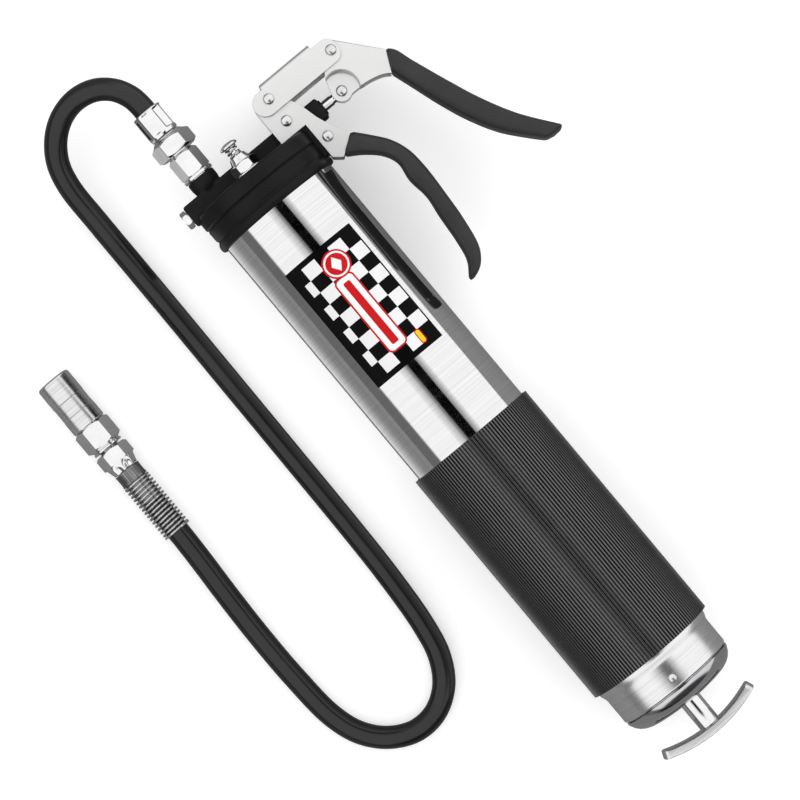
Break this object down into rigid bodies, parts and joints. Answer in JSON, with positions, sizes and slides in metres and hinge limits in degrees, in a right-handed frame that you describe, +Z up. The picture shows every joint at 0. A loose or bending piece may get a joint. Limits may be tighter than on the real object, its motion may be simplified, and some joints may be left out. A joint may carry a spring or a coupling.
{
  "type": "grease gun",
  "caption": "One-hand lever grease gun with a steel barrel, ribbed rubber sleeve, T-handle follower rod, and a whip hose ending in a grease coupler.",
  "frame": {"origin": "under the middle of the gun's own box, on the surface it lies on, with the hose left out", "axes": "+Y along the barrel from the T-handle to the head, +X towards the lever, +Z up off the surface"},
  "size_m": [0.2468, 0.3852, 0.0609],
  "materials": {
    "black_casting": "satin black enamel on a zinc die casting",
    "brushed_steel": "brushed around the barrel, bright nickel finish",
    "bright_chrome": "polished nickel-chrome plate",
    "nickel_plate": "satin nickel plate on pressed steel sheet",
    "spring_steel": "bright drawn wire",
    "sleeve_rubber": "ribbed black rubber, satin",
    "grip_vinyl": "dipped black vinyl, satin",
    "hose_rubber": "smooth black hose cover with a soft gloss",
    "seal_rubber": "nitrile rubber",
    "label_film": "printed film, plain chequers with no mark"
  },
  "bodies": {
    "head": {"head_casting": "black_casting", "head_gasket": "seal_rubber", "plunger_seal": "seal_rubber", "check_ball": "bright_chrome", "check_spring": "spring_steel", "check_valve_plug": "bright_chrome", "outlet_washer": "bright_chrome", "outlet_adapter": "bright_chrome", "hose_nut": "bright_chrome", "hose_ferrule": "bright_chrome", "bleeder_body": "bright_chrome", "bleeder_spring": "spring_steel", "bracket_handle": "nickel_plate", "handle_grip": "grip_vinyl", "bracket_rivet_upper": "bright_chrome", "bracket_rivet_lower": "bright_chrome", "link_pivot_pin": "bright_chrome", "hose": "hose_rubber", "spring_guard": "spring_steel", "hose_end_ferrule": "brushed_steel", "hose_end_nut": "bright_chrome", "coupler_body": "bright_chrome", "coupler_sleeve": "bright_chrome", "coupler_seal": "seal_rubber", "coupler_jaw_1": "spring_steel", "coupler_jaw_2": "spring_steel", "coupler_jaw_3": "spring_steel"},
    "bleeder": {"bleeder_button": "bright_chrome"},
    "pump_plunger": {"plunger": "bright_chrome", "plunger_pin": "bright_chrome"},
    "lever": {"lever_channel": "nickel_plate", "lever_grip": "grip_vinyl"},
    "link": {"link_channel": "nickel_plate", "lever_link_pin": "bright_chrome"},
    "barrel": {"barrel_tube": "brushed_steel", "barrel_sleeve": "sleeve_rubber", "end_cap": "bright_chrome", "rod_guide": "seal_rubber", "label": "label_film", "follower_spring": "spring_steel"},
    "follower": {"follower_cup": "seal_rubber", "follower_plate": "brushed_steel"},
    "rod": {"follower_rod": "bright_chrome", "rod_nut": "brushed_steel", "t_handle": "bright_chrome"}
  },
  "joints": [
    {"name": "lever_squeeze", "type": "hinge", "parent": "pump_plunger", "child": "lever", "pos_m": [0.0116, 0.1319, 0.03038], "axis": [0, 0, -1], "range_deg": [0, 22]},
    {"name": "plunger_stroke", "type": "slide", "parent": "head", "child": "pump_plunger", "axis": [-1, 0, 0], "range_m": [0, 0.006]},
    {"name": "link_swing", "type": "hinge", "parent": "head", "child": "link", "pos_m": [-0.0145, 0.1486, 0.03038], "axis": [0, 0, -1], "range_deg": [0, 6.6]},
    {"name": "bleeder_press", "type": "slide", "parent": "head", "child": "bleeder", "axis": [0, -1, 0], "range_m": [0, 0.0025], "stiffness_N_per_m": 1000, "deforming": ["bleeder_spring"]},
    {"name": "barrel_unscrew", "type": "hinge", "parent": "head", "child": "barrel", "pos_m": [-0.0404, -0.0754, 0.03038], "axis": [0, 1, 0], "range_deg": [0, 630]},
    {"name": "follower_draw", "type": "slide", "parent": "barrel", "child": "follower", "axis": [0, -1, 0], "range_m": [0, 0.2], "stiffness_N_per_m": 200, "springref_m": -0.05, "deforming": ["follower_spring"]},
    {"name": "t_handle_turn", "type": "hinge", "parent": "follower", "child": "rod", "pos_m": [-0.0404, -0.0754, 0.03038], "axis": [0, 1, 0], "continuous": true}
  ],
  "couplings": [
    {"joint": "plunger_stroke", "follows": "lever_squeeze", "m_per_rad": 0.01505},
    {"joint": "link_swing", "follows": "lever_squeeze", "ratio": 0.29}
  ]
}
